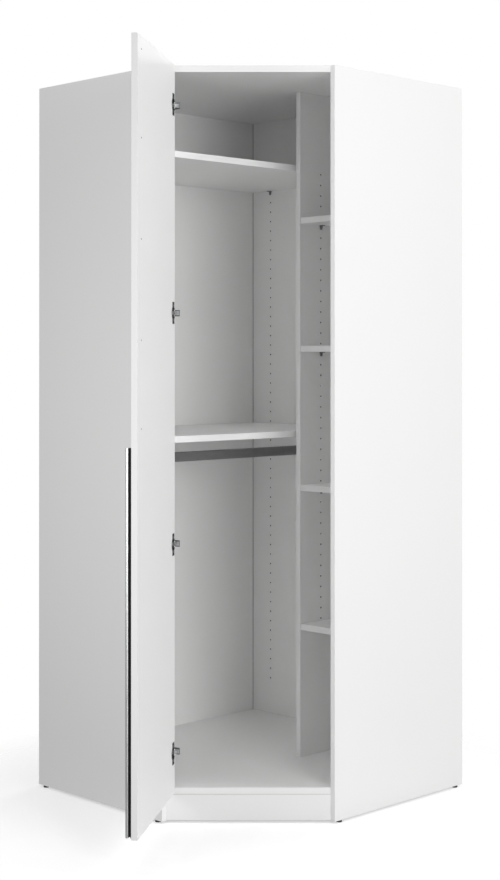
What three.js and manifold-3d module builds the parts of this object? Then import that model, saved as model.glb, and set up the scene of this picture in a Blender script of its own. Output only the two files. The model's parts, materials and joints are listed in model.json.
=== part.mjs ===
// Corner wardrobe: a five-sided carcass that stands in the corner of a room, with one tall door across
// its diagonal front. Behind the door are a wide hanging bay and a narrow bay of small shelves.
// Units are millimetres and Z is up. The front faces -Y and the room corner is at +Y.
import * as THREE from "three";
import { mergeVertices } from "three/addons/utils/BufferGeometryUtils.js";
import Module from "manifold-3d";

const wasm = await Module();
wasm.setup();

// Carcass sizes
const wallRun = 904; // outside length of each of the two back walls
const sideDepth = 565; // how far each side panel stands out from its back wall
const panelHeight = 2101;
const gliderHeight = 6;
const wallBoard = 16; // thickness of every upright board
const shelfBoard = 18; // thickness of every level board
const plinthHeight = 72;
const plinthLift = 2; // the plinth ends this far above the foot of the side panels
const cornerGap = 2.5; // open joint where the two back walls meet
const jointGap = 0.3; // left between two pieces that touch
const overrun = 5; // how far a cutting tool runs past the surface it opens
const weldDistance = 0.0001; // corners closer than this are one corner

// Shelf holes: one every pitch from the lowest up to the upper wide shelf. Those of the narrow bay start
// at its lowest shelf.
const holePitch = 32;
const lowestHole = 118; // above the floor panel
const holeRadius = 2.6;
const holeDepth = 12;
const holeSides = 8;
const rearHoleSetback = 83; // from the inner face of the back wall behind the hole
const wideFrontHoleSetback = 37; // from the front edge of the side panel
const narrowFrontHoleSetback = 90; // from the front edge of the partition

// Inside boards. Each shelf lies on the holes nearest to its share of the inside height.
const partitionClearance = 11; // from the front line of the wide shelves to the partition
const partitionDepth = 365;
const wideShelfSetback = 1; // behind the front edges of the side panels
const narrowShelfSetback = 2; // behind the front edge of the partition
const upperShelfShare = 0.8825;
const lowerShelfShare = 0.4807;
const narrowShelfShares = [0.8021, 0.6092, 0.4003, 0.1914];

// Shelf supports
const supportRise = 7; // from the middle of the hole up to the underside of the shelf
const supportDrop = 6.5;
const supportReach = 12;
const supportTopWidth = 12;
const supportFootWidth = 5;
const supportPlate = 2;
const supportWeb = 3;
const supportPinRadius = 2.3;
const supportPinLength = 10;

// Clothes rail, a flat oval tube
const railHeight = 30;
const railWidth = 15;
const railWall = 1.2;
const railArcSteps = 8;
const railDrop = 47; // from the underside of the lower wide shelf
const railSetback = 274; // from the inner face of the left back wall
const socketPlate = 2.5;
const socketRim = 2.5;
const socketReach = 12;
const railEndGap = 1;

// Door
const doorBoard = 16;
const doorSideGap = 2; // from each end of the door to the inner front corner of the side panel
const doorFrontGap = 3; // from the shut door to the edges of the top and floor panels
const doorFoot = 81; // above the foot of the side panels
const restOpening = THREE.MathUtils.degToRad(98.3); // how far the door stands open
const pivotInset = 8; // the door turns about a line this far in from its end
const pivotDepth = 12.8; // and this far below its inner face
const pilotInset = 42; // holes for the handle's other place, from the door's free edge
const pilotFromTop = 34;
const pilotSpan = 960; // from the first of them to the last
const pilotShares = [0, 0.2333, 0.5, 0.7667, 1]; // along that span

// Door handle, a hooked strip on the lower half of the door's free edge. Its lip has a rounded front.
const handleLength = 975;
const handleFoot = 5; // above the foot of the door
const handleBase = 22;
const handleLip = 12;
const handleReach = 15.8;
const handleWall = 1.5;
const handleWeb = 2;
const handleLipWall = 8.6;
const handleLipSteps = 10;

// Hinges: a cup let into the door, an arm on the side panel, and a cranked link between them
const hingeFromDoorEnd = 113.5; // the outer hinges, from the top and the foot of the door
const innerHingeShare = 0.3416; // the inner hinges, as a share of the door's height from each end
const cupInset = 22.5; // from the end of the door to the middle of the cup
const cupRadius = 17.2;
const cupWall = 1;
const cupDepth = 11.9;
const cupFloor = 1.2;
const cupFit = 0.3;
const cupSides = 24;
const flangeThickness = 1.2;
const flangeRim = 2.2;
const flangeEarWidth = 20;
const flangeEarHeight = 61;
const cupNotch = 19; // opening in the rim for the arm and the link
const cupNotchDepth = 0.4;
const linkPivotInset = 28; // the pivot in the arm, measured on the shut door like the cup
const linkPivotDepth = 2;
const linkTurnShare = 0.3988; // how far the link turns for each degree of the door
const linkLength = 17.79;
const linkAngle = -2.9447;
const linkBendShares = [0.41, 0.87]; // along the link
const linkBends = [5.19, 3.56]; // out of its straight line
const linkThickness = 2.4;
const linkWidth = 9.4;
const linkTipRadius = 1.6;
const knuckleRadius = 2.4;
const knuckleSides = 12;
const axleRadius = 1.1;
const axleFit = 0.3;
const armWidth = 17;
const armWall = 1.6;
const armNoseRadius = 2.6;
const armTop = 15.5; // of the arm's straight part, off the side panel
const armCrown = 21.5; // where it bends outwards
const armShoulder = 12.5; // under the crown
const armBelly = 8; // where its underside starts to rise
const armTopBend = 10; // these two behind the front edge of the side panel
const armBellyBend = 4;
const armShoulderReach = 4; // and these two in front of it
const armCrownReach = 8;
const armNeck = 4; // straight part behind the pivot
const armTipRise = 2.6; // the rounded end of the arm, off the pivot and ahead of it
const armTipReach = 4.7;
const forkDepth = 9; // slot for the link, behind the pivot
const forkClearance = 0.8; // round the link's knuckle
const channelFrom = 14; // hollow under the arm, behind the front edge of the side panel
const plateLength = 30;
const plateHeight = 48;
const plateThickness = 2.2;
const plateCentre = 37; // from the front edge of the side panel
const bossWidth = 11;
const bossFrom = 12;
const bossTo = 60;
const bossTop = 6.2;

// Gliders
const gliderRadius = 8;
const gliderSides = 16;
const gliderSetback = 26;

// Places worked out from the sizes above
const quarterTurn = Math.PI / 2;
const root2 = Math.SQRT2;
const carcassFoot = gliderHeight;
const carcassTop = carcassFoot + panelHeight;
const floorUnder = carcassFoot + plinthLift + plinthHeight;
const floorTop = floorUnder + shelfBoard;
const topUnder = carcassTop - shelfBoard;
const insideHeight = topUnder - floorTop;
const innerRun = wallRun - wallBoard; // inner faces of the side panels
const partitionLeft = sideDepth + partitionClearance;
const partitionRight = partitionLeft + wallBoard;
const partitionFront = wallBoard + partitionDepth;
const cornerDepth = (wallRun + sideDepth) / root2; // room corner behind the front corners
const frontSetback = wallBoard / root2; // inner front corners behind the outer ones
const frontHalfWidth = (innerRun - sideDepth) / root2;
const doorWidth = (frontHalfWidth - doorSideGap) * 2;
const doorBottom = carcassFoot + doorFoot;
const doorHeight = carcassTop - doorBottom;
const doorEnd = -doorWidth / 2;
const doorInner = frontSetback - doorFrontGap;
const pivotX = doorEnd + pivotInset;
const pivotY = doorInner - pivotDepth;

// Materials
function material(color, roughness, metalness) {
  return () => new THREE.MeshStandardMaterial({ color, roughness, metalness });
}
const whiteBoard = material(0xf1f1ef, 0.5, 0);
const darkRail = material(0x4b4d50, 0.4, 0.6);
const brightStrip = material(0xc9cbcc, 0.3, 0.9);
const hingeSteel = material(0xb4b6b8, 0.32, 1);
const supportSteel = material(0x77797b, 0.4, 0.9);
const blackPlastic = material(0x17181a, 0.6, 0);

// Solids
function toSolid(geometry) {
  const plain = geometry.clone();
  plain.deleteAttribute("normal");
  plain.deleteAttribute("uv");
  const merged = mergeVertices(plain, weldDistance);
  return new wasm.Manifold(
    new wasm.Mesh({
      numProp: 3,
      vertProperties: merged.attributes.position.array,
      triVerts: new Uint32Array(merged.index.array),
    }),
  );
}

function toGeometry(solid) {
  const mesh = solid.getMesh();
  const indexed = new THREE.BufferGeometry()
    .setAttribute("position", new THREE.BufferAttribute(mesh.vertProperties, 3))
    .setIndex(new THREE.BufferAttribute(mesh.triVerts, 1));
  const flat = indexed.toNonIndexed();
  flat.computeVertexNormals();
  return flat;
}

function join(...geometries) {
  return toGeometry(geometries.map(toSolid).reduce((all, next) => all.add(next)));
}

function cut(geometry, ...tools) {
  return toGeometry(tools.map(toSolid).reduce((left, tool) => left.subtract(tool), toSolid(geometry)));
}

function block(fromX, toX, fromY, toY, fromZ, toZ) {
  const geometry = new THREE.BoxGeometry(toX - fromX, toY - fromY, toZ - fromZ);
  return geometry.translate((fromX + toX) / 2, (fromY + toY) / 2, (fromZ + toZ) / 2);
}

function slab(outline, fromZ, toZ, hole) {
  const shape = new THREE.Shape(outline.map(([x, y]) => new THREE.Vector2(x, y)));
  if (hole) shape.holes.push(new THREE.Path(hole.map(([x, y]) => new THREE.Vector2(x, y))));
  const geometry = new THREE.ExtrudeGeometry(shape, { depth: toZ - fromZ, bevelEnabled: false });
  return geometry.translate(0, 0, fromZ);
}

// A round bar along Z, centred on its own origin
function roundBar(radius, length, sides) {
  return new THREE.CylinderGeometry(radius, radius, length, sides).rotateX(quarterTurn);
}

function piece(name, geometry, makeMaterial) {
  const mesh = new THREE.Mesh(geometry, makeMaterial());
  mesh.name = name;
  return mesh;
}

// Holes are numbered from the lowest, which is 0.
function holeHeight(number) {
  return floorTop + lowestHole + number * holePitch;
}

function shelfUnder(number) {
  return holeHeight(number) + supportRise;
}

function nearestHole(heightShare) {
  return Math.round((heightShare * insideHeight - lowestHole - supportRise) / holePitch);
}

const upperShelfHole = nearestHole(upperShelfShare);
const lowerShelfHole = nearestHole(lowerShelfShare);
const narrowShelfHoles = narrowShelfShares.map(nearestHole);

// Carcass boards are drawn on the floor plan: X runs along the left back wall and Y along the right one,
// both from the room corner.
const plan = new THREE.Group();
plan.rotation.z = THREE.MathUtils.degToRad(-135);
plan.position.y = cornerDepth;

// Blind holes that open on a face square to X or to Y; the sign says which way the drill goes.
function holeAlongX(faceX, sign, y, z) {
  const drill = roundBar(holeRadius, holeDepth + overrun, holeSides).rotateY(quarterTurn);
  return drill.translate(faceX + (sign * (holeDepth - overrun)) / 2, y, z);
}

function holeAlongY(x, faceY, sign, z) {
  const drill = roundBar(holeRadius, holeDepth + overrun, holeSides).rotateX(quarterTurn);
  return drill.translate(x, faceY + (sign * (holeDepth - overrun)) / 2, z);
}

const wideHoles = Array.from({ length: upperShelfHole + 1 }, (_, number) => number);
const narrowHoles = wideHoles.slice(Math.min(...narrowShelfHoles));
const rearHoleLine = wallBoard + rearHoleSetback;
const wideFrontHoleLine = sideDepth - wideFrontHoleSetback;
const narrowFrontHoleLine = partitionFront - narrowFrontHoleSetback;

function sidePanels() {
  const leftBoard = block(innerRun, wallRun, 0, sideDepth, carcassFoot, carcassTop);
  const leftHoles = [
    ...wideHoles.map((number) => holeAlongX(innerRun, 1, rearHoleLine, holeHeight(number))),
    holeAlongX(innerRun, 1, wideFrontHoleLine, holeHeight(upperShelfHole)),
  ];
  const rightBoard = block(0, sideDepth, innerRun, wallRun, carcassFoot, carcassTop);
  const rightHoles = [
    ...narrowHoles.map((number) => holeAlongY(narrowFrontHoleLine, innerRun, 1, holeHeight(number))),
    ...narrowShelfHoles.map((number) => holeAlongY(rearHoleLine, innerRun, 1, holeHeight(number))),
  ];
  return [
    piece("side_panel_left", cut(leftBoard, ...leftHoles), whiteBoard),
    piece("side_panel_right", cut(rightBoard, ...rightHoles), whiteBoard),
  ];
}

function backPanels() {
  const end = innerRun - jointGap;
  const left = block(wallBoard + cornerGap, end, 0, wallBoard, carcassFoot, carcassTop);
  const rightBoard = block(0, wallBoard, 0, end, carcassFoot, carcassTop);
  const rightHoles = [
    ...wideHoles.map((number) => holeAlongX(wallBoard, -1, rearHoleLine, holeHeight(number))),
    holeAlongX(wallBoard, -1, wideFrontHoleLine, holeHeight(upperShelfHole)),
  ];
  return [
    piece("back_panel_left", left, whiteBoard),
    piece("back_panel_right", cut(rightBoard, ...rightHoles), whiteBoard),
  ];
}

// The five-sided outline of the top and floor panels, whose long front edge runs across the corner.
function levelPanel(name, fromZ, toZ) {
  const near = wallBoard + jointGap;
  const far = innerRun - jointGap;
  const outline = [
    [near, near],
    [far, near],
    [far, sideDepth],
    [sideDepth, far],
    [near, far],
  ];
  return piece(name, slab(outline, fromZ, toZ), whiteBoard);
}

// The plinth stands under the front edge of the floor panel, its ends mitred to the side panels.
function plinth() {
  const far = innerRun - jointGap;
  const behind = wallBoard * root2;
  const outline = [
    [far, sideDepth],
    [sideDepth, far],
    [sideDepth - behind, far],
    [far, sideDepth - behind],
  ];
  return piece("plinth", slab(outline, carcassFoot + plinthLift, floorUnder - jointGap), whiteBoard);
}

function partition() {
  const board = block(
    wallBoard + jointGap,
    partitionFront,
    partitionLeft,
    partitionRight,
    floorTop + jointGap,
    topUnder - jointGap,
  );
  const holes = [
    ...narrowHoles.map((number) => holeAlongY(narrowFrontHoleLine, partitionRight, -1, holeHeight(number))),
    ...narrowShelfHoles.map((number) => holeAlongY(rearHoleLine, partitionRight, -1, holeHeight(number))),
  ];
  return piece("partition", cut(board, ...holes), whiteBoard);
}

function wideShelf(name, number) {
  const under = shelfUnder(number);
  const near = wallBoard + jointGap;
  const front = sideDepth - wideShelfSetback;
  const board = block(near, innerRun - jointGap, near, front, under, under + shelfBoard);
  return piece(name, board, whiteBoard);
}

function narrowShelf(name, number) {
  const under = shelfUnder(number);
  const front = partitionFront - narrowShelfSetback;
  const near = wallBoard + jointGap;
  const board = block(
    near,
    front,
    partitionRight + jointGap,
    innerRun - jointGap,
    under,
    under + shelfBoard,
  );
  return piece(name, board, whiteBoard);
}

// A spade support: a pin in the hole, and outside it a plate under the shelf on a tapering web.
// It is drawn with the wall face at X = 0, the pin on -X and the hole's middle at Z = 0.
function shelfSupport(name) {
  const top = supportRise - jointGap;
  const spade = [
    [supportTopWidth / 2, top],
    [-supportTopWidth / 2, top],
    [-supportFootWidth / 2, -supportDrop],
    [supportFootWidth / 2, -supportDrop],
  ];
  const web = slab(spade, jointGap, jointGap + supportWeb).rotateX(quarterTurn).rotateZ(quarterTurn);
  const plate = block(
    jointGap,
    supportReach,
    -supportTopWidth / 2,
    supportTopWidth / 2,
    top - supportPlate,
    top,
  );
  const pinRun = supportPinLength + jointGap + supportWeb / 2;
  const pin = roundBar(supportPinRadius, pinRun, holeSides).rotateY(quarterTurn);
  pin.translate(pinRun / 2 - supportPinLength, 0, 0);
  return piece(name, join(web, plate, pin), supportSteel);
}

function placedSupport(name, x, y, number, turn) {
  const support = shelfSupport(name);
  support.position.set(x, y, holeHeight(number));
  support.rotation.z = turn;
  return support;
}

function wideShelfSupports() {
  const lines = { rear: rearHoleLine, front: wideFrontHoleLine };
  return Object.entries(lines).flatMap(([place, y]) => [
    placedSupport("support_upper_right_" + place, wallBoard, y, upperShelfHole, 0),
    placedSupport("support_upper_left_" + place, innerRun, y, upperShelfHole, Math.PI),
  ]);
}

function narrowShelfSupports() {
  const lines = { rear: rearHoleLine, front: narrowFrontHoleLine };
  const quarter = quarterTurn;
  return narrowShelfHoles.flatMap((number, index) =>
    Object.entries(lines).flatMap(([place, x]) => [
      placedSupport(`support_narrow_${index + 1}_left_${place}`, x, partitionRight, number, quarter),
      placedSupport(`support_narrow_${index + 1}_right_${place}`, x, innerRun, number, -quarter),
    ]),
  );
}

// The outline of the oval rail, grown or shrunk by an amount, with Z of the rail as Y of the outline.
function railOutline(grow) {
  const radius = railWidth / 2 + grow;
  const straight = (railHeight - railWidth) / 2;
  const arc = (centre, from) =>
    Array.from({ length: railArcSteps + 1 }, (_, step) => {
      const angle = from + (Math.PI * step) / railArcSteps;
      return [radius * Math.cos(angle), centre + radius * Math.sin(angle)];
    });
  return [...arc(straight, 0), ...arc(-straight, Math.PI)];
}

// Turns a slab drawn in X and Y into one that runs along X, with the slab's Y upright.
function layAlongX(geometry) {
  return geometry.rotateX(quarterTurn).rotateZ(quarterTurn);
}

function clothesRail() {
  const middle = shelfUnder(lowerShelfHole) - railDrop - railHeight / 2;
  const y = wallBoard + railSetback;
  const from = wallBoard + jointGap + socketPlate + railEndGap;
  const to = innerRun - jointGap - socketPlate - railEndGap;
  const tube = layAlongX(slab(railOutline(0), from, to, railOutline(-railWall).reverse()));
  const rail = piece("clothes_rail", tube, darkRail);
  rail.position.set(0, y, middle);
  const left = railSocket("rail_socket_left");
  left.position.set(innerRun, y, middle);
  left.rotation.z = Math.PI;
  const right = railSocket("rail_socket_right");
  right.position.set(wallBoard, y, middle);
  return [rail, left, right];
}

// A rail socket on a wall at X = 0: a plate with a rim round the rail, open at the top.
function railSocket(name) {
  const outer = railOutline(socketRim);
  const inner = railOutline(jointGap);
  const plate = layAlongX(slab(outer, jointGap, jointGap + socketPlate));
  const rim = layAlongX(slab(outer, jointGap, socketReach));
  const hollow = layAlongX(slab(inner, jointGap + socketPlate, socketReach + overrun));
  const across = railWidth / 2 + jointGap;
  const mouth = block(
    jointGap + socketPlate,
    socketReach + overrun,
    -across,
    across,
    0,
    railHeight / 2 + socketRim + overrun,
  );
  return piece(name, cut(join(plate, rim), hollow, mouth), darkRail);
}

// Gliders under the ends of the side panels and under the back corner
function gliders() {
  const middle = wallBoard / 2;
  const places = {
    left_rear: [wallRun - middle, gliderSetback],
    left_front: [wallRun - middle, sideDepth - gliderSetback],
    right_rear: [gliderSetback, wallRun - middle],
    right_front: [sideDepth - gliderSetback, wallRun - middle],
    back_corner: [middle, gliderSetback],
  };
  return Object.entries(places).map(([place, [x, y]]) => {
    const thickness = gliderHeight - jointGap;
    const glider = piece("glider_" + place, roundBar(gliderRadius, thickness, gliderSides), blackPlastic);
    glider.position.set(x, y, thickness / 2);
    return glider;
  });
}

// The door and its hinges are drawn as if the door were shut, measured from the pivot line, with X along
// the door from its hinged end and Y towards the inside of the wardrobe.
const hingeHeights = [
  doorBottom + hingeFromDoorEnd,
  doorBottom + innerHingeShare * doorHeight,
  carcassTop - innerHingeShare * doorHeight,
  carcassTop - hingeFromDoorEnd,
];
const cupX = cupInset - pivotInset;

function doorPanel() {
  const inner = pivotDepth;
  const board = block(
    -pivotInset,
    doorWidth - pivotInset,
    inner - doorBoard,
    inner,
    doorBottom,
    doorBottom + doorHeight,
  );
  const bores = hingeHeights.map((height) => {
    const depth = cupDepth + jointGap;
    const bore = roundBar(cupRadius + cupFit, depth + overrun, cupSides).rotateX(quarterTurn);
    return bore.translate(cupX, inner - (depth - overrun) / 2, height);
  });
  const pilots = pilotShares.map((share) => {
    const height = carcassTop - pilotFromTop - share * pilotSpan;
    return holeAlongY(doorWidth - pivotInset - pilotInset, inner, -1, height);
  });
  return piece("door_panel", cut(board, ...bores, ...pilots), whiteBoard);
}

// The handle's section, with X measured back from the door's free end and Y out from its face
function handleOutline() {
  const seat = jointGap;
  const webBack = handleLip;
  const webFront = handleLip - handleWeb;
  const out = handleReach;
  const nose = handleLipWall / 2;
  const lipFront = Array.from({ length: handleLipSteps + 1 }, (_, step) => {
    const turn = quarterTurn + (Math.PI * step) / handleLipSteps;
    return [nose + nose * Math.cos(turn), out - nose + nose * Math.sin(turn)];
  });
  return [
    [0, seat],
    [handleBase, seat],
    [handleBase, seat + handleWall],
    [webBack, seat + handleWall],
    [webBack, out],
    ...lipFront,
    [webFront, out - handleLipWall],
    [webFront, seat + handleWall],
    [0, seat + handleWall],
  ];
}

function doorHandle() {
  const foot = doorBottom + handleFoot;
  const strip = slab(handleOutline(), foot, foot + handleLength).rotateZ(Math.PI);
  const handle = piece("door_handle", strip, brightStrip);
  handle.position.set(doorWidth - pivotInset, pivotDepth - doorBoard, 0);
  return handle;
}

// The hinge cup: a round pot with a flange that has two screw ears, and a rim notched towards the door's
// end. It is drawn with the door's inner face at Y = 0 and the middle of the cup at X = 0.
function hingeCup(name) {
  const rimMiddle = jointGap + flangeThickness / 2;
  const rim = roundBar(cupRadius + flangeRim, flangeThickness, cupSides).rotateX(quarterTurn);
  rim.translate(0, rimMiddle, 0);
  const pot = roundBar(cupRadius, rimMiddle + cupDepth, cupSides).rotateX(quarterTurn);
  pot.translate(0, (rimMiddle - cupDepth) / 2, 0);
  const ears = block(
    -flangeEarWidth / 2,
    flangeEarWidth / 2,
    jointGap,
    jointGap + flangeThickness,
    -flangeEarHeight / 2,
    flangeEarHeight / 2,
  );
  const hollowRadius = cupRadius - cupWall;
  const hollowDepth = cupDepth - cupFloor;
  const hollow = roundBar(hollowRadius, hollowDepth + overrun, cupSides).rotateX(quarterTurn);
  hollow.translate(0, (overrun - hollowDepth) / 2, 0);
  const notch = block(
    -cupRadius - flangeRim - overrun,
    -cupRadius / 2,
    -cupNotchDepth,
    overrun,
    -cupNotch / 2,
    cupNotch / 2,
  );
  return piece(name, cut(join(pot, rim, ears), hollow, notch), hingeSteel);
}

function doorGroup() {
  const door = new THREE.Group();
  door.position.set(pivotX, pivotY, 0);
  door.rotation.z = -restOpening;
  door.add(doorPanel(), doorHandle());
  hingeHeights.forEach((height, index) => {
    const cup = hingeCup("hinge_cup_" + (index + 1));
    cup.position.set(cupX, pivotDepth, height);
    door.add(cup);
  });
  return door;
}

// The outline of a bent strip: a band of even thickness along a row of points, rounded by its end discs.
function bandOutline(points, thickness) {
  const side = thickness / 2;
  const normals = points.slice(1).map(([x, y], index) => {
    const [fromX, fromY] = points[index];
    const run = Math.hypot(x - fromX, y - fromY);
    return [-(y - fromY) / run, (x - fromX) / run];
  });
  const offsets = points.map((_, index) => {
    const [ax, ay] = normals[Math.max(index - 1, 0)];
    const [bx, by] = normals[Math.min(index, normals.length - 1)];
    const scale = side / (1 + ax * bx + ay * by);
    return [(ax + bx) * scale, (ay + by) * scale];
  });
  const left = points.map(([x, y], index) => [x + offsets[index][0], y + offsets[index][1]]);
  const right = points.map(([x, y], index) => [x - offsets[index][0], y - offsets[index][1]]);
  return [...right, ...left.reverse()];
}

// The link, drawn for the shut door from its pivot in the arm: a knuckle, a band with two bends, and a
// round tip that floats in the cup. Its axle turns in the cheeks of the arm.
function hingeLink(name) {
  const along = [Math.cos(linkAngle), Math.sin(linkAngle)];
  const aside = [-along[1], along[0]];
  const at = (share, bend) => [
    along[0] * share * linkLength + aside[0] * bend,
    along[1] * share * linkLength + aside[1] * bend,
  ];
  const points = [
    [0, 0],
    at(linkBendShares[0], linkBends[0]),
    at(linkBendShares[1], linkBends[1]),
    at(1, 0),
  ];
  const side = linkWidth / 2;
  const band = slab(bandOutline(points, linkThickness), -side, side);
  const knuckle = roundBar(knuckleRadius, linkWidth, knuckleSides);
  const tip = roundBar(linkTipRadius, linkWidth, knuckleSides).translate(...at(1, 0), 0);
  const axle = roundBar(axleRadius, armWidth, knuckleSides);
  return piece(name, join(band, knuckle, tip, axle), hingeSteel);
}

function linkGroup() {
  const links = new THREE.Group();
  links.position.set(doorEnd + linkPivotInset, doorInner - linkPivotDepth, 0);
  links.rotation.z = restOpening * linkTurnShare;
  hingeHeights.forEach((height, index) => {
    const link = hingeLink("hinge_link_" + (index + 1));
    link.position.z = height;
    links.add(link);
  });
  return links;
}

// The arm and its mounting plate, drawn on the side panel: X stands off the panel's inner face and Y runs
// back from its front edge.
const mountAngle = THREE.MathUtils.degToRad(45);
const mountCorner = [-frontHalfWidth, frontSetback];

// The link's pivot seen from the mounting corner
function nosePoint() {
  const x = doorEnd + linkPivotInset - mountCorner[0];
  const y = doorInner - linkPivotDepth - mountCorner[1];
  return [(x + y) / root2, (y - x) / root2];
}

function hingeArm(name) {
  const [noseX, noseY] = nosePoint();
  const tipX = noseX + armTipRise;
  const tipY = noseY - armTipReach;
  const under = bossTop + jointGap;
  const profile = [
    [under, bossTo],
    [under, bossFrom],
    [armBelly, armBellyBend],
    [armShoulder, -armShoulderReach],
    [noseX - armNoseRadius, noseY + armNeck],
    [tipX - armNoseRadius, tipY],
    [tipX + armNoseRadius, tipY],
    [armCrown, -armCrownReach],
    [armTop, armTopBend],
    [armTop, bossTo],
  ];
  const side = armWidth / 2;
  const body = slab(profile.reverse(), -side, side);
  const tip = roundBar(armNoseRadius, armWidth, knuckleSides).translate(tipX, tipY, 0);
  const cheek = side - armWall;
  const fork = block(
    noseX - knuckleRadius - overrun,
    noseX + knuckleRadius + overrun,
    noseY - knuckleRadius - forkClearance,
    noseY + forkDepth,
    -linkWidth / 2 - jointGap,
    linkWidth / 2 + jointGap,
  );
  const channel = block(under - overrun, armTop - armWall, channelFrom, bossTo + overrun, -cheek, cheek);
  const axleHole = roundBar(axleRadius + axleFit, armWidth + overrun, knuckleSides);
  axleHole.translate(noseX, noseY, 0);
  return piece(name, cut(join(body, tip), fork, channel, axleHole), hingeSteel);
}

function hingePlate(name) {
  const base = block(
    jointGap,
    jointGap + plateThickness,
    plateCentre - plateLength / 2,
    plateCentre + plateLength / 2,
    -plateHeight / 2,
    plateHeight / 2,
  );
  const boss = block(jointGap, bossTop, bossFrom, bossTo, -bossWidth / 2, bossWidth / 2);
  return piece(name, join(base, boss), hingeSteel);
}

function armGroup() {
  const arms = new THREE.Group();
  arms.position.set(...mountCorner, 0);
  arms.rotation.z = mountAngle;
  hingeHeights.forEach((height, index) => {
    const arm = hingeArm("hinge_arm_" + (index + 1));
    const plate = hingePlate("hinge_plate_" + (index + 1));
    arm.position.z = height;
    plate.position.z = height;
    arms.add(arm, plate);
  });
  return arms;
}

plan.add(
  ...sidePanels(),
  ...backPanels(),
  levelPanel("top_panel", topUnder, carcassTop),
  levelPanel("floor_panel", floorUnder, floorTop),
  plinth(),
  partition(),
  wideShelf("shelf_wide_upper", upperShelfHole),
  wideShelf("shelf_wide_lower", lowerShelfHole),
  ...narrowShelfHoles.map((number, index) => narrowShelf("shelf_narrow_" + (index + 1), number)),
  ...wideShelfSupports(),
  ...narrowShelfSupports(),
  ...clothesRail(),
  ...gliders(),
);

const wardrobe = new THREE.Group();
wardrobe.add(plan, armGroup(), linkGroup(), doorGroup());

// The part's origin is the middle of its outline on the floor, with the door as it stands open.
const bounds = new THREE.Box3().setFromObject(wardrobe);
const middle = bounds.getCenter(new THREE.Vector3());
wardrobe.position.set(-middle.x, -middle.y, -bounds.min.z);

const part = new THREE.Group();
part.add(wardrobe);
export default part;
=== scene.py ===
import functools
import json
import math

import bmesh
import bpy
from mathutils import Matrix, Vector

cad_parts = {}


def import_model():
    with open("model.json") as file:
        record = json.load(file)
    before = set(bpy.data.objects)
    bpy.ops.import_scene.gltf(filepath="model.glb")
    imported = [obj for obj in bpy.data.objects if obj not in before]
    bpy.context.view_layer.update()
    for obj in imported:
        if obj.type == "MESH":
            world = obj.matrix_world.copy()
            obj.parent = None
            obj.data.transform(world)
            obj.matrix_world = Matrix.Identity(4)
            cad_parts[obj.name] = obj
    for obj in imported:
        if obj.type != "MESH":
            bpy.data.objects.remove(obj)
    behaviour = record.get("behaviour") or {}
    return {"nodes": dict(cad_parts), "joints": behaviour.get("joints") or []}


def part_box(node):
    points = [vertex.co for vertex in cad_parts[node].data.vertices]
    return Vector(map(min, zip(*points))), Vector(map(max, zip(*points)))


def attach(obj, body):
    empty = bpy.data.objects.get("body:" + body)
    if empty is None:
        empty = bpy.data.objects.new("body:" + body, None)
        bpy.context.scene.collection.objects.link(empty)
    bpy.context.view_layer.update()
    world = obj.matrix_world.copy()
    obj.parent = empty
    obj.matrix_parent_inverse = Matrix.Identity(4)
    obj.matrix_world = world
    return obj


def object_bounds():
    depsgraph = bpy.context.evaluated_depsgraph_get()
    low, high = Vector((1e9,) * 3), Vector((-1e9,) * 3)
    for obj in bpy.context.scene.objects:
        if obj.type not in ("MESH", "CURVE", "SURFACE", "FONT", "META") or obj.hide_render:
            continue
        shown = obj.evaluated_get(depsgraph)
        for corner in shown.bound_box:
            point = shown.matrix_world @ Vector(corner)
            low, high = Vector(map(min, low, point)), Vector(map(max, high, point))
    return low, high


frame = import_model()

cad_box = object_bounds()

# Lengths are metres in the frame of the CAD model: the front faces -Y and the room corner is at +Y.
MM = 0.001
UP = Vector((0, 0, 1))

# Nodes
BOARDS = [
    "side_panel_left",
    "side_panel_right",
    "back_panel_left",
    "back_panel_right",
    "top_panel",
    "floor_panel",
    "plinth",
    "partition",
    "shelf_wide_upper",
    "shelf_wide_lower",
    "shelf_narrow_1",
    "shelf_narrow_2",
    "shelf_narrow_3",
    "shelf_narrow_4",
    "door_panel",
]
DRILLED_BOARDS = ["side_panel_left", "side_panel_right", "back_panel_right", "partition"]
HINGES = [1, 2, 3, 4]

# The door's frame: X along the shut door from its pivot, Y towards its inner face
REST_OPENING = math.radians(98.3)
DOOR_PIVOT = Vector(frame["joints"][0]["pos_m"])
DOOR_INNER = 12.8 * MM
DOOR_THICKNESS = 16 * MM
CUP_X = 14.5 * MM
FLANGE_TOP = 1.5 * MM

# The frame of the hinge arms, at the inner front corner of the left side panel: X stands off the panel
# and Y runs back along it
MOUNT_CORNER = Vector((DOOR_PIVOT.x - 10 * MM, DOOR_PIVOT.y + 15.8 * MM, 0))
MOUNT_TURN = math.radians(45)
ARM_TOP = 15.5 * MM
PLATE_TOP = 2.5 * MM
PLATE_CENTRE = 37 * MM

# The handle's bright lip starts here, off the door's outer face; the channel behind it is black, which also
# paints the shade in the channel
HANDLE_LIP_FROM = 7.1 * MM

# The rims of a hinge arm where shade and dark reflection are painted: off its middle line, and off the side
# panel at its nose
ARM_SIDE_RIM = 6.4 * MM
ARM_NOSE_RIM = 19.6 * MM

# How far one colour takes to turn into the next
EDGE_BLUR = 0.2 * MM

# Boards: thickness of the walls, the width of the line of painted shade at an arris and in a joint, and the
# rounding of the edging tape with the number of rays that find it
WALL_BOARD = 16 * MM
SHADE_LINE = 0.6 * MM
EDGING_RADIUS = 0.6 * MM
EDGING_RAYS = 6

# Drilled holes: every edge of a hole's floor is shorter than the width. The lining is a share as wide as the
# hole, stands off its floor by the gap, and stops below the white skin of the board; it is near black, as
# painted shade of the hole.
HOLE_WIDTH = 5.5 * MM
LINING_SHARE = 0.985
LINING_GAP = 0.05 * MM
BOARD_SKIN = 0.2 * MM

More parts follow.
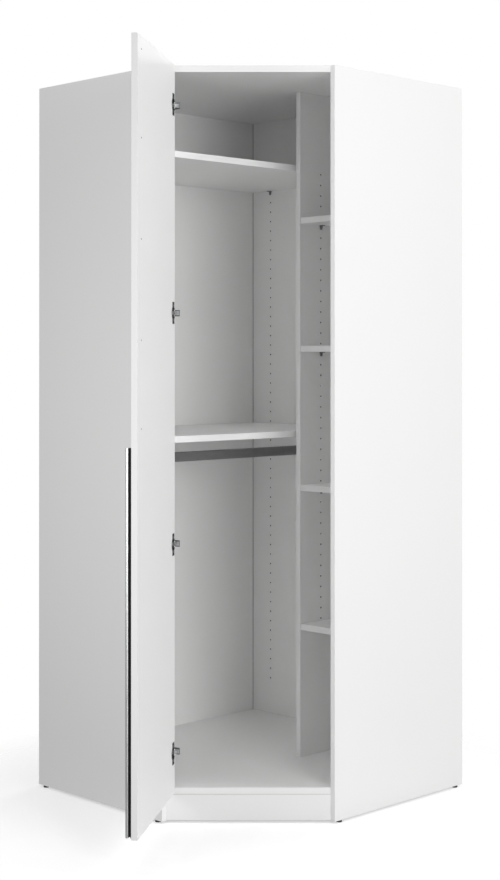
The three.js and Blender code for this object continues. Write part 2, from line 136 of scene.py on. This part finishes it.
# Corners nearer than this are one corner, and an edge with at least this cosine runs along the hole
WELD_DISTANCE = 0.001 * MM
ALONG_HOLE = 0.99

# Screws: radius and height of the heads, and their places from the middle of a hinge
PAN_HEAD = (3.6 * MM, 1.6 * MM)
FLAT_HEAD = (3.2 * MM, 1.0 * MM)
CUP_SCREWS_UP = 26 * MM
PLATE_SCREWS_UP = 16 * MM
ARM_SCREWS_BACK = (26 * MM, 46 * MM)

# A screw head, in shares of its radius and height: its outline, and its cross recess
HEAD_SIDES = 24
HEAD_OUTLINE = ((1.0, 0.0), (1.0, 0.45), (0.82, 0.85))
RECESS_REACH = 0.55
RECESS_HALF_WIDTH = 0.16
RECESS_TAPER = 0.8
RECESS_FLOOR = 0.35

# Faces of the CAD pieces that meet at less than this are parts of one curve
SMOOTH_BELOW = math.radians(35)

# Colours: pairs are the two tones that a noise blends
WHITE_MELAMINE = ((0.906, 0.907, 0.905), (0.918, 0.918, 0.915))
WHITE_SPECK = (0.926, 0.926, 0.923)
# Painted shade in the joint of the back walls and under the floor panel, in a chipboard tone
JOINT_SHADE_CHIPS = ((0.34, 0.3, 0.25), (0.48, 0.43, 0.37))
DOOR_EDGING = ((0.775, 0.776, 0.774), (0.795, 0.795, 0.792))
# Near black: painted shade inside the drilled holes, in chipboard tones
HOLE_SHADE_CHIPS = ((0.008, 0.007, 0.006), (0.03, 0.025, 0.02))
RAIL_GREY = ((0.182, 0.182, 0.184), (0.208, 0.208, 0.21))
PLASTIC_BLACK = ((0.016, 0.016, 0.017), (0.03, 0.03, 0.031))
HANDLE_SILVER = ((0.55, 0.555, 0.56), (0.72, 0.725, 0.73))
HANDLE_BLACK = ((0.004, 0.004, 0.004), (0.009, 0.009, 0.009))
# Painted shade and dark reflection on the sides and nose of the hinge arms
RIM_SHADE_GREY = (0.09, 0.09, 0.094)
FLOOR_WHITE = ((0.9, 0.9, 0.9), (0.92, 0.92, 0.92))
WHITE = (1.0, 1.0, 1.0, 1.0)

# Metals: two tones, lowest and highest roughness, and how dense the fine lines are along each axis
METALS = {
    "hinge_steel": (((0.42, 0.43, 0.44), (0.6, 0.61, 0.62)), (0.22, 0.4), (900, 900, 300)),
    "hinge_arm_steel": (((0.5, 0.51, 0.52), (0.68, 0.69, 0.7)), (0.24, 0.42), (900, 900, 300)),
    # The cups' steel has far darker tones than the arms' steel: painted dark reflection
    "cup_steel_painted_dark": (((0.11, 0.11, 0.115), (0.19, 0.19, 0.195)), (0.28, 0.45), (900, 900, 300)),
    "support_steel": (((0.17, 0.17, 0.175), (0.3, 0.3, 0.31)), (0.35, 0.55), (900, 900, 900)),
    "dark_screws": (((0.05, 0.05, 0.052), (0.1, 0.1, 0.104)), (0.3, 0.45), (900, 900, 900)),
}

# The handle's fine lines run up it, so they are dense across it and sparse along Z
HANDLE_LINES = (2200, 2200, 12)

# The floor: a disc that is solid to one radius and has faded away at the other, with a glow of its own
FLOOR_SOLID_RADIUS = 0.55
FLOOR_FADE_RADIUS = 1.1
FLOOR_GLOW = 0.26

# The camera, as fitted to the corners of the panels and to the rows of holes in the photo
CAMERA_PLACE = (0.07396, -4.774, 1.29245)
CAMERA_TILT = math.radians(90.223)
CAMERA_SENSOR_MM = 36.0
CAMERA_LENS_MM = 65.99
CAMERA_SHIFT = (-0.02848, -0.10035)
CAMERA_FAR = 100.0

# Lights. Each soft box has azimuth and elevation in degrees, distance, width and height, and power in
# watts. Azimuth 0 is straight in front and turns towards +X.
AMBIENT = 0.35
BACKDROP = 1.0
LIGHTS_AIM = Vector((0.0, 0.0, 1.05))
SOFT_BOXES = {
    "key": (24, 8, 5.0, 1.2, 2.2, 48),
    "key_high": (24, 20, 5.0, 1.2, 1.6, 9.5),
    "key_low": (27, -4, 5.0, 1.6, 2.2, 24),
    "key_lowest": (38, -14, 5.0, 1.6, 1.2, 13),
    "key_right": (38, 10, 5.0, 1.2, 2.2, 27),
    "side_high": (80, 32, 9.0, 2.2, 3.6, 180),
    "near_left": (-40, 0, 2.2, 0.8, 1.2, 10.3),
    "top_left": (-45, 75, 3.4, 2.0, 2.0, 26),
    "back": (155, 8, 6.0, 2.4, 2.4, 125),
}
DIFFUSE_BOUNCES = 8


# Calls that build materials


def new_material(name):
    """A material with an empty node tree but for its shader and output."""
    material = bpy.data.materials.new(name)
    material.use_nodes = True
    nodes = material.node_tree.nodes
    nodes.clear()
    shader = nodes.new("ShaderNodeBsdfPrincipled")
    output = nodes.new("ShaderNodeOutputMaterial")
    material.node_tree.links.new(shader.outputs["BSDF"], output.inputs["Surface"])
    return material, shader


class Graph:
    """Short calls that add nodes to one material. Places are in the object's own coordinates."""

    def __init__(self, material):
        self.tree = material.node_tree
        coordinates = self.node("ShaderNodeTexCoord")
        self.place = coordinates.outputs["Object"]
        self.facing = coordinates.outputs["Normal"]

    def node(self, kind, **settings):
        made = self.tree.nodes.new(kind)
        for key, value in settings.items():
            setattr(made, key, value)
        return made

    def link(self, source, target):
        self.tree.links.new(source, target)

    def stretched(self, scales):
        """The place, stretched along each axis."""
        mapping = self.node("ShaderNodeMapping")
        mapping.inputs["Scale"].default_value = scales
        self.link(self.place, mapping.inputs["Vector"])
        return mapping.outputs["Vector"]

    def noise(self, scale, detail=2.0, roughness=0.5, place=None):
        noise = self.node("ShaderNodeTexNoise")
        noise.inputs["Scale"].default_value = scale
        noise.inputs["Detail"].default_value = detail
        noise.inputs["Roughness"].default_value = roughness
        self.link(place or self.place, noise.inputs["Vector"])
        return noise.outputs["Fac"]

    def fine_lines(self, scales):
        """Noise drawn out into lines, for metal that was brushed or rolled."""
        return self.noise(1.0, detail=2.0, roughness=0.6, place=self.stretched(scales))

    def spread(self, value, low=0.0, high=1.0, start=0.3, end=0.7):
        """Maps the values from start to end onto those from low to high; a noise lies about 0.3 to 0.7."""
        mapped = self.node("ShaderNodeMapRange")
        mapped.inputs["From Min"].default_value = start
        mapped.inputs["From Max"].default_value = end
        mapped.inputs["To Min"].default_value = low
        mapped.inputs["To Max"].default_value = high
        self.link(value, mapped.inputs["Value"])
        return mapped.outputs["Result"]

    def mix(self, factor, first, second):
        """One colour turning into another as the factor goes from 0 to 1."""
        mix = self.node("ShaderNodeMix", data_type="RGBA")
        self.link(factor, mix.inputs["Factor"])
        for value, name in ((first, "A"), (second, "B")):
            socket = next(s for s in mix.inputs if s.name == name and s.type == "RGBA")
            if isinstance(value, tuple):
                socket.default_value = (*value, 1.0)
            else:
                self.link(value, socket)
        return next(s for s in mix.outputs if s.type == "RGBA")

    def blend(self, noise, tones):
        """Two tones, blended by a noise."""
        return self.mix(self.spread(noise), *tones)

    def calculate(self, operation, first, second=None):
        """One arithmetic step on a value."""
        made = self.node("ShaderNodeMath", operation=operation)
        self.link(first, made.inputs[0])
        if isinstance(second, (int, float)):
            made.inputs[1].default_value = second
        elif second is not None:
            self.link(second, made.inputs[1])
        return made.outputs["Value"]

    def dot(self, vector, direction):
        product = self.node("ShaderNodeVectorMath", operation="DOT_PRODUCT")
        product.inputs[1].default_value = direction
        self.link(vector, product.inputs[0])
        return product.outputs["Value"]

    def along(self, direction, start):
        """How far a point lies in a direction, from a start given in the same direction."""
        return self.calculate("SUBTRACT", self.dot(self.place, direction), start)

    def past(self, *starts):
        """1 where a point lies past every start, each given with its own direction, and 0 elsewhere."""
        inside = [self.calculate("GREATER_THAN", self.along(way, start), 0.0) for way, start in starts]
        return functools.reduce(lambda first, second: self.calculate("MULTIPLY", first, second), inside)

    def turned_from(self, direction):
        """1 where the surface faces well away from a line, and 0 where it faces along it."""
        return self.calculate("LESS_THAN", self.calculate("ABSOLUTE", self.dot(self.facing, direction)), 0.5)

    def rounded(self, radius, rays):
        """Normals that turn over the arrises as if they were rounded."""
        made = self.node("ShaderNodeBevel", samples=rays)
        made.inputs["Radius"].default_value = radius
        return made.outputs["Normal"]

    def bump(self, height, strength, distance, normal=None):
        bump = self.node("ShaderNodeBump")
        bump.inputs["Strength"].default_value = strength
        bump.inputs["Distance"].default_value = distance
        self.link(height, bump.inputs["Height"])
        if normal is not None:
            self.link(normal, bump.inputs["Normal"])
        return bump.outputs["Normal"]


# Places on the door and on the hinge arms


def door_axis(x, y):
    """A direction given on the shut door, as the door stands open."""
    return Matrix.Rotation(-REST_OPENING, 3, "Z") @ Vector((x, y, 0))


def door_frame(height):
    """From the shut door's own frame to the room, at a height."""
    pivot = Vector((DOOR_PIVOT.x, DOOR_PIVOT.y, height))
    return Matrix.Translation(pivot) @ Matrix.Rotation(-REST_OPENING, 4, "Z")


def arm_frame(height):
    """From the frame of the hinge arms to the room, at a height."""
    corner = Vector((MOUNT_CORNER.x, MOUNT_CORNER.y, height))
    return Matrix.Translation(corner) @ Matrix.Rotation(MOUNT_TURN, 4, "Z")


def hinge_height(number):
    low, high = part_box(f"hinge_cup_{number}")
    return (low.z + high.z) / 2


# Zones of a piece that are coloured apart from the rest: the painted shade of joints and of hinge arm rims,
# the door's edges and the handle's lip. Each function takes the material's graph.


def corner_joint_shade(graph):
    """The right back wall's inner face, where it lies behind the end of the left one: the shade in this
    joint is painted there in a chipboard tone.
    """
    towards_left = Vector((-1, 1, 0)).normalized()
    inward = Vector((-1, -1, 0)).normalized()
    corner = Vector((0, cad_box[1].y, 0))
    behind_end = (towards_left, corner.dot(towards_left) - WALL_BOARD)
    at_inner_face = (inward, corner.dot(inward) + WALL_BOARD - SHADE_LINE)
    return graph.past(behind_end, at_inner_face)


def plinth_arris_shade(graph):
    """The top arris of the plinth, under the floor panel, where the shade of the joint is painted as a dark
    line.
    """
    return graph.past((UP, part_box("plinth")[1].z - SHADE_LINE))


def door_edges(graph):
    """The four edges of the door, which have another edging than the carcass."""
    return graph.turned_from(door_axis(0, 1))


def handle_lip(graph):
    """The handle's lip, which stands off the door's outer face."""
    outward = door_axis(0, -1)
    pivot = Vector((DOOR_PIVOT.x, DOOR_PIVOT.y, 0))
    outer_face = pivot.dot(outward) + DOOR_THICKNESS - DOOR_INNER
    distance = graph.along(outward, outer_face)
    return graph.spread(distance, start=HANDLE_LIP_FROM, end=HANDLE_LIP_FROM + EDGE_BLUR)


def arm_rims_shade(graph, number):
    """The two sides and the nose of one hinge arm, which get painted shade."""
    off_middle = graph.calculate("ABSOLUTE", graph.along(UP, hinge_height(number)))
    sides = graph.spread(off_middle, start=ARM_SIDE_RIM, end=ARM_SIDE_RIM + EDGE_BLUR)
    off_panel = arm_frame(0).to_3x3() @ Vector((1, 0, 0))
    reach = graph.along(off_panel, MOUNT_CORNER.dot(off_panel))
    nose = graph.spread(reach, start=ARM_NOSE_RIM, end=ARM_NOSE_RIM + EDGE_BLUR)
    return graph.calculate("MAXIMUM", sides, nose)


# Materials


def white_board(name="white_board", zone=None, tones=None):
    """Melamine faced board: satin white with a fine pebbled print and a little unevenness. A zone, if
    one is given, has two tones of its own."""
    material, shader = new_material(name)
    graph = Graph(material)
    base = graph.blend(graph.noise(3.1, detail=3.0), WHITE_MELAMINE)
    speck = graph.spread(graph.noise(420.0, detail=1.0), start=0.35, end=0.75)
    colour = graph.mix(speck, base, WHITE_SPECK)
    # A zone paints the shade of a joint, or gives the door's edges their edging
    if zone is not None:
        other = graph.blend(graph.noise(700.0, detail=3.0, roughness=0.7), tones)
        colour = graph.mix(zone(graph), colour, other)
    graph.link(colour, shader.inputs["Base Color"])
    sheen = graph.spread(graph.noise(11.0, detail=4.0), low=0.42, high=0.52)
    graph.link(sheen, shader.inputs["Roughness"])
    edging = graph.rounded(EDGING_RADIUS, EDGING_RAYS)
    print_height = graph.noise(900.0, detail=2.0, roughness=0.6)
    pebble = graph.bump(print_height, strength=0.12, distance=0.4 * MM, normal=edging)
    waves = graph.bump(graph.noise(22.0, detail=2.0), strength=0.05, distance=2 * MM, normal=pebble)
    graph.link(waves, shader.inputs["Normal"])
    shader.inputs["Specular IOR Level"].default_value = 0.4
    return material


def special_boards():
    """The boards with a zone of their own: two have the shade of a joint painted on in a chipboard tone, and
    the door has its edging.
    """
    return {
        "back_panel_right": white_board("white_board_back", corner_joint_shade, JOINT_SHADE_CHIPS),
        "plinth": white_board("white_board_plinth", plinth_arris_shade, JOINT_SHADE_CHIPS),
        "door_panel": white_board("white_board_door", door_edges, DOOR_EDGING),
    }


def dark_rail():
    """Dark grey coated steel, finely grained."""
    material, shader = new_material("dark_rail")
    graph = Graph(material)
    graph.link(graph.blend(graph.noise(30.0, detail=3.0), RAIL_GREY), shader.inputs["Base Color"])
    sheen = graph.spread(graph.noise(60.0, detail=2.0), low=0.36, high=0.5)
    graph.link(sheen, shader.inputs["Roughness"])
    grain = graph.bump(graph.noise(1500.0, detail=2.0), strength=0.2, distance=0.2 * MM)
    graph.link(grain, shader.inputs["Normal"])
    shader.inputs["Metallic"].default_value = 0.2
    return material


def metal(kind, name=None, shade_zone=None):
    """Plated metal with fine lines. A zone, if one is given, is painted dark as shade."""
    tones, (rough_low, rough_high), scales = METALS[kind]
    material, shader = new_material(name or kind)
    graph = Graph(material)
    lines = graph.fine_lines(scales)
    colour = graph.blend(graph.noise(120.0, detail=3.0), tones)
    if shade_zone is not None:
        colour = graph.mix(shade_zone(graph), colour, RIM_SHADE_GREY)
    graph.link(colour, shader.inputs["Base Color"])
    graph.link(graph.spread(lines, low=rough_low, high=rough_high), shader.inputs["Roughness"])
    graph.link(graph.bump(lines, strength=0.15, distance=0.1 * MM), shader.inputs["Normal"])
    shader.inputs["Metallic"].default_value = 1.0
    return material


def arm_steel(number):
    """Nickel plated steel of one hinge arm, with painted shade along its two sides and over its nose."""
    rims = functools.partial(arm_rims_shade, number=number)
    return metal("hinge_arm_steel", f"hinge_arm_steel_{number}", rims)


def black_plastic():
    """Moulded black plastic with a fine spark-eroded grain."""
    material, shader = new_material("black_plastic")
    graph = Graph(material)
    graph.link(graph.blend(graph.noise(200.0, detail=3.0), PLASTIC_BLACK), shader.inputs["Base Color"])
    sheen = graph.spread(graph.noise(350.0, detail=2.0), low=0.5, high=0.68)
    graph.link(sheen, shader.inputs["Roughness"])
    grain = graph.bump(graph.noise(2500.0, detail=2.0), strength=0.3, distance=0.1 * MM)
    graph.link(grain, shader.inputs["Normal"])
    return material


def handle_strip():
    """The handle: black in its channel and on its base, which also paints the shade in its channel, and
    bright on its lip.
    """
    material, shader = new_material("bright_strip")
    graph = Graph(material)
    lines = graph.fine_lines(HANDLE_LINES)
    lip = handle_lip(graph)
    silver = graph.blend(lines, HANDLE_SILVER)
    # Near black: the channel's colour with its shade painted in
    black = graph.blend(lines, HANDLE_BLACK)
    graph.link(graph.mix(lip, black, silver), shader.inputs["Base Color"])
    graph.link(lip, shader.inputs["Metallic"])
    graph.link(graph.spread(lines, low=0.26, high=0.38), shader.inputs["Roughness"])
    graph.link(graph.bump(lines, strength=0.1, distance=0.1 * MM), shader.inputs["Normal"])
    return material


def hole_shade_lining():
    """Chipboard, as it shows in the drilled holes: coarse chips of a few shades, darkened to near black as
    painted shade of the hole.
    """
    material, shader = new_material("hole_shade_lining")
    graph = Graph(material)
    chips = graph.noise(900.0, detail=3.0, roughness=0.7)
    graph.link(graph.blend(chips, HOLE_SHADE_CHIPS), shader.inputs["Base Color"])
    rough = graph.bump(graph.noise(1400.0, detail=2.0), strength=0.6, distance=0.3 * MM)
    graph.link(rough, shader.inputs["Normal"])
    shader.inputs["Roughness"].default_value = 0.95
    shader.inputs["Specular IOR Level"].default_value = 0.1
    return material


def floor_material():
    """A pale floor with a faint glow of its own, which fades out round the wardrobe."""
    material, shader = new_material("studio_floor")
    graph = Graph(material)
    graph.link(graph.blend(graph.noise(2.0, detail=2.0), FLOOR_WHITE), shader.inputs["Base Color"])
    shader.inputs["Roughness"].default_value = 0.9
    shader.inputs["Specular IOR Level"].default_value = 0.1
    shader.inputs["Emission Color"].default_value = WHITE
    shader.inputs["Emission Strength"].default_value = FLOOR_GLOW
    distance = graph.node("ShaderNodeVectorMath", operation="LENGTH")
    graph.link(graph.place, distance.inputs[0])
    fade = graph.spread(distance.outputs["Value"], start=FLOOR_SOLID_RADIUS, end=FLOOR_FADE_RADIUS)
    clear = graph.node("ShaderNodeBsdfTransparent")
    blend = graph.node("ShaderNodeMixShader")
    output = material.node_tree.get_output_node("ALL")
    graph.link(fade, blend.inputs["Fac"])
    graph.link(shader.outputs["BSDF"], blend.inputs[1])
    graph.link(clear.outputs["BSDF"], blend.inputs[2])
    graph.link(blend.outputs["Shader"], output.inputs["Surface"])
    return material


# Surfaces of the CAD pieces


def smooth_group():
    """Geometry nodes that shade faces smooth where they are parts of one curve."""
    group = bpy.data.node_groups.new("smooth_curves", "GeometryNodeTree")
    group.interface.new_socket("Geometry", in_out="INPUT", socket_type="NodeSocketGeometry")
    group.interface.new_socket("Geometry", in_out="OUTPUT", socket_type="NodeSocketGeometry")
    source = group.nodes.new("NodeGroupInput")
    target = group.nodes.new("NodeGroupOutput")
    faces = group.nodes.new("GeometryNodeSetShadeSmooth")
    edges = group.nodes.new("GeometryNodeSetShadeSmooth")
    edges.domain = "EDGE"
    edges.inputs["Shade Smooth"].default_value = False
    angle = group.nodes.new("GeometryNodeInputMeshEdgeAngle")
    sharp = group.nodes.new("FunctionNodeCompare")
    sharp.operation = "GREATER_THAN"
    sharp.inputs["B"].default_value = SMOOTH_BELOW
    group.links.new(angle.outputs["Unsigned Angle"], sharp.inputs["A"])
    group.links.new(sharp.outputs["Result"], edges.inputs["Selection"])
    group.links.new(source.outputs[0], faces.inputs["Geometry"])
    group.links.new(faces.outputs[0], edges.inputs["Geometry"])
    group.links.new(edges.outputs[0], target.inputs[0])
    return group


def dress(node, material, smooth):
    """Gives a CAD piece its material and smooth curves."""
    piece = frame["nodes"][node]
    piece.data.materials.clear()
    piece.data.materials.append(material)
    modifier = piece.modifiers.new("smooth_curves", "NODES")
    modifier.node_group = smooth


def dress_all():
    smooth = smooth_group()
    board = white_board()
    boards = special_boards()
    steel = metal("hinge_steel")
    by_name = {
        "clothes_rail": dark_rail(),
        "support": metal("support_steel"),
        "glider": black_plastic(),
        "door_handle": handle_strip(),
        "hinge_cup": metal("cup_steel_painted_dark"),
    }
    by_name["rail_socket"] = by_name["clothes_rail"]
    for number in HINGES:
        by_name[f"hinge_arm_{number}"] = arm_steel(number)
    for node in frame["nodes"]:
        if node in BOARDS:
            dress(node, boards.get(node, board), smooth)
        else:
            found = [material for start, material in by_name.items() if node.startswith(start)]
            dress(node, found[0] if found else steel, smooth)


# New pieces


def new_piece(name, mesh, material, body):
    """Turns a finished mesh into a piece that rides on a body, with the material given."""
    data = bpy.data.meshes.new(name)
    mesh.to_mesh(data)
    mesh.free()
    data.materials.append(material)
    piece = bpy.data.objects.new(name, data)
    bpy.context.scene.collection.objects.link(piece)
    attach(piece, body)


# Linings of the drilled holes, which carry their painted shade


def is_small(face):
    return max(edge.calc_length() for edge in face.edges) < HOLE_WIDTH


def take_group(left):
    """Takes one face, and all that are joined to it through others, from those that are left."""
    first = left[0]
    left.remove(first)
    group = [first]
    for face in group:
        for other in (other for edge in face.edges for other in edge.link_faces):
            if other in left:
                left.remove(other)
                group.append(other)
    return group


def hole_floors(mesh):
    """The groups of small faces that close the blind holes."""
    left = [face for face in mesh.faces if is_small(face)]
    groups = []
    while left:
        groups.append(take_group(left))
    return groups


def rim_of(group):
    """The corners round a group of faces, counterclockwise as seen from the side that the faces look to."""
    inside = set(group)
    following = {}
    for loop in (loop for face in group for loop in face.loops):
        if not inside.issuperset(loop.edge.link_faces):
            following[loop.vert] = loop.link_loop_next.vert
    rim = [next(iter(following))]
    while len(rim) < len(following):
        rim.append(following[rim[-1]])
    return rim


def hole_depth(corner, normal):
    """The length of the longest edge that runs up the hole's wall from a corner of its floor."""
    depth = 0.0
    for edge in corner.link_edges:
        first, second = edge.verts
        way = (second.co - first.co).normalized()
        if abs(way.dot(normal)) > ALONG_HOLE:
            depth = max(depth, edge.calc_length())
    return depth


def line_hole(mesh, group):
    """Adds a near-black lining just inside one hole as its painted shade, which stops below the white skin
    of the board.
    Its wall and its floor face into the hole."""
    normal = group[0].normal
    rim = rim_of(group)
    height = hole_depth(rim[0], normal) - LINING_GAP - BOARD_SKIN
    centre = sum((vert.co for vert in rim), Vector()) / len(rim)
    low = [mesh.verts.new(centre + (vert.co - centre) * LINING_SHARE + normal * LINING_GAP) for vert in rim]
    high = [mesh.verts.new(vert.co + normal * height) for vert in low]
    join_rings(mesh, high, low)
    mesh.faces.new(low)


def join_rings(mesh, start, end):
    """Adds a wall of four-sided faces between two rings of the same number of corners. It faces outward if
    the rings run counterclockwise as seen from the end, and inward if they run counterclockwise as seen
    from the start."""
    for step in range(len(start)):
        after = (step + 1) % len(start)
        mesh.faces.new((start[step], start[after], end[after], end[step]))


def line_holes(node, body, material):
    mesh = bmesh.new()
    mesh.from_mesh(frame["nodes"][node].data)
    bmesh.ops.remove_doubles(mesh, verts=mesh.verts, dist=WELD_DISTANCE)
    solid = list(mesh.faces)
    for group in hole_floors(mesh):
        line_hole(mesh, group)
    bmesh.ops.delete(mesh, geom=solid, context="FACES")
    new_piece(f"drilled_hole_shade_{node}", mesh, material, body)


def line_all_holes():
    hole_shade = hole_shade_lining()
    for node in DRILLED_BOARDS:
        line_holes(node, "carcass", hole_shade)
    line_holes("door_panel", "door", hole_shade)


# Screws


def ring(mesh, place, radius, level):
    corners = []
    for step in range(HEAD_SIDES):
        angle = 2 * math.pi * step / HEAD_SIDES
        point = Vector((radius * math.cos(angle), radius * math.sin(angle), level))
        corners.append(mesh.verts.new(place @ point))
    return corners


def cross_outline(reach, half):
    """The corners of a cross, from its arms' reach and half their width."""
    return [
        (reach, -half), (reach, half), (half, half), (half, reach), (-half, reach), (-half, half),
        (-reach, half), (-reach, -half), (-half, -half), (-half, -reach), (half, -reach), (half, -half),
    ]


def ring_edges(mesh, corners):
    following = corners[1:] + corners[:1]
    return [mesh.edges.get(pair) for pair in zip(corners, following)]


def screw_head(mesh, place, radius, height):
    """Adds a pan head with a cross recess to a mesh; the head stands on Z = 0 of its place."""
    rings = [ring(mesh, place, radius * out, height * up) for out, up in HEAD_OUTLINE]
    for lower, upper in zip(rings, rings[1:]):
        join_rings(mesh, lower, upper)
    cross = cross_outline(radius * RECESS_REACH, radius * RECESS_HALF_WIDTH)
    top = [mesh.verts.new(place @ Vector((x, y, height))) for x, y in cross]
    narrow = [(x * RECESS_TAPER, y * RECESS_TAPER) for x, y in cross]
    bottom = [mesh.verts.new(place @ Vector((x, y, height * RECESS_FLOOR))) for x, y in narrow]
    join_rings(mesh, bottom, top)
    mesh.faces.new(bottom)
    edges = ring_edges(mesh, rings[-1]) + ring_edges(mesh, top)
    bmesh.ops.triangle_fill(mesh, edges=edges, use_beauty=True, use_dissolve=False)
    mesh.faces.new(list(reversed(rings[0])))


def screws(name, places, head, material, body):
    mesh = bmesh.new()
    for place in places:
        screw_head(mesh, place, *head)
    bmesh.ops.recalc_face_normals(mesh, faces=mesh.faces)
    new_piece(name, mesh, material, body)


def standing(frame_of, height, offset, direction):
    """The place of a screw: at an offset in the frame of the door or the arm, standing in a direction."""
    turn = Vector(direction).to_track_quat("Z", "Y").to_matrix().to_4x4()
    return frame_of(height) @ Matrix.Translation(offset) @ turn


def hinge_screws():
    """Two screws in the ears of each cup, two in each plate and two in each arm."""
    material = metal("dark_screws")
    along_x = (1, 0, 0)
    along_y = (0, 1, 0)
    cup_top = DOOR_INNER + FLANGE_TOP
    for number in HINGES:
        height = hinge_height(number)
        ears = [
            standing(door_frame, height, (CUP_X, cup_top, side * CUP_SCREWS_UP), along_y)
            for side in (-1, 1)
        ]
        screws(f"cup_screws_{number}", ears, PAN_HEAD, material, "door")
        feet = [
            standing(arm_frame, height, (PLATE_TOP, PLATE_CENTRE, side * PLATE_SCREWS_UP), along_x)
            for side in (-1, 1)
        ]
        screws(f"plate_screws_{number}", feet, PAN_HEAD, material, "carcass")
        adjusters = [standing(arm_frame, height, (ARM_TOP, back, 0), along_x) for back in ARM_SCREWS_BACK]
        screws(f"arm_screws_{number}", adjusters, FLAT_HEAD, material, "carcass")


# Room, camera and light


def floor():
    mesh = bmesh.new()
    bmesh.ops.create_grid(mesh, x_segments=1, y_segments=1, size=FLOOR_FADE_RADIUS)
    data = bpy.data.meshes.new("studio_floor")
    mesh.to_mesh(data)
    mesh.free()
    data.materials.append(floor_material())
    piece = bpy.data.objects.new("studio_floor", data)
    bpy.context.scene.collection.objects.link(piece)
    piece.visible_diffuse = False


def world():
    """A white surround that lights the room more softly than it shows."""
    made = bpy.data.worlds.new("studio")
    made.use_nodes = True
    tree = made.node_tree
    ambient = tree.nodes["Background"]
    ambient.inputs["Color"].default_value = WHITE
    ambient.inputs["Strength"].default_value = AMBIENT
    backdrop = tree.nodes.new("ShaderNodeBackground")
    backdrop.inputs["Color"].default_value = WHITE
    backdrop.inputs["Strength"].default_value = BACKDROP
    seen = tree.nodes.new("ShaderNodeLightPath")
    blend = tree.nodes.new("ShaderNodeMixShader")
    tree.links.new(seen.outputs["Is Camera Ray"], blend.inputs["Fac"])
    tree.links.new(ambient.outputs["Background"], blend.inputs[1])
    tree.links.new(backdrop.outputs["Background"], blend.inputs[2])
    tree.links.new(blend.outputs["Shader"], tree.nodes["World Output"].inputs["Surface"])
    bpy.context.scene.world = made


def soft_box(name, azimuth, elevation, distance, width, height, power):
    """A rectangular light that looks at the middle of the wardrobe."""
    turn = math.radians(azimuth)
    rise = math.radians(elevation)
    way = Vector((math.sin(turn) * math.cos(rise), -math.cos(turn) * math.cos(rise), math.sin(rise)))
    data = bpy.data.lights.new(name, "AREA")
    data.shape = "RECTANGLE"
    data.size = width
    data.size_y = height
    data.energy = power
    lamp = bpy.data.objects.new(name, data)
    lamp.location = LIGHTS_AIM + way * distance
    lamp.rotation_euler = (-way).to_track_quat("-Z", "Y").to_euler()
    lamp.visible_camera = False
    bpy.context.scene.collection.objects.link(lamp)


def camera():
    data = bpy.data.cameras.new("camera")
    data.sensor_width = CAMERA_SENSOR_MM
    data.lens = CAMERA_LENS_MM
    data.shift_x, data.shift_y = CAMERA_SHIFT
    data.clip_end = CAMERA_FAR
    made = bpy.data.objects.new("camera", data)
    made.location = CAMERA_PLACE
    made.rotation_euler = (CAMERA_TILT, 0.0, 0.0)
    bpy.context.scene.collection.objects.link(made)
    bpy.context.scene.camera = made


def studio():
    camera()
    floor()
    world()
    for name, box in SOFT_BOXES.items():
        soft_box(name, *box)
    scene = bpy.context.scene
    scene.view_settings.view_transform = "Standard"
    scene.view_settings.look = "None"
    scene.cycles.diffuse_bounces = DIFFUSE_BOUNCES


dress_all()
hinge_screws()
line_all_holes()
studio()
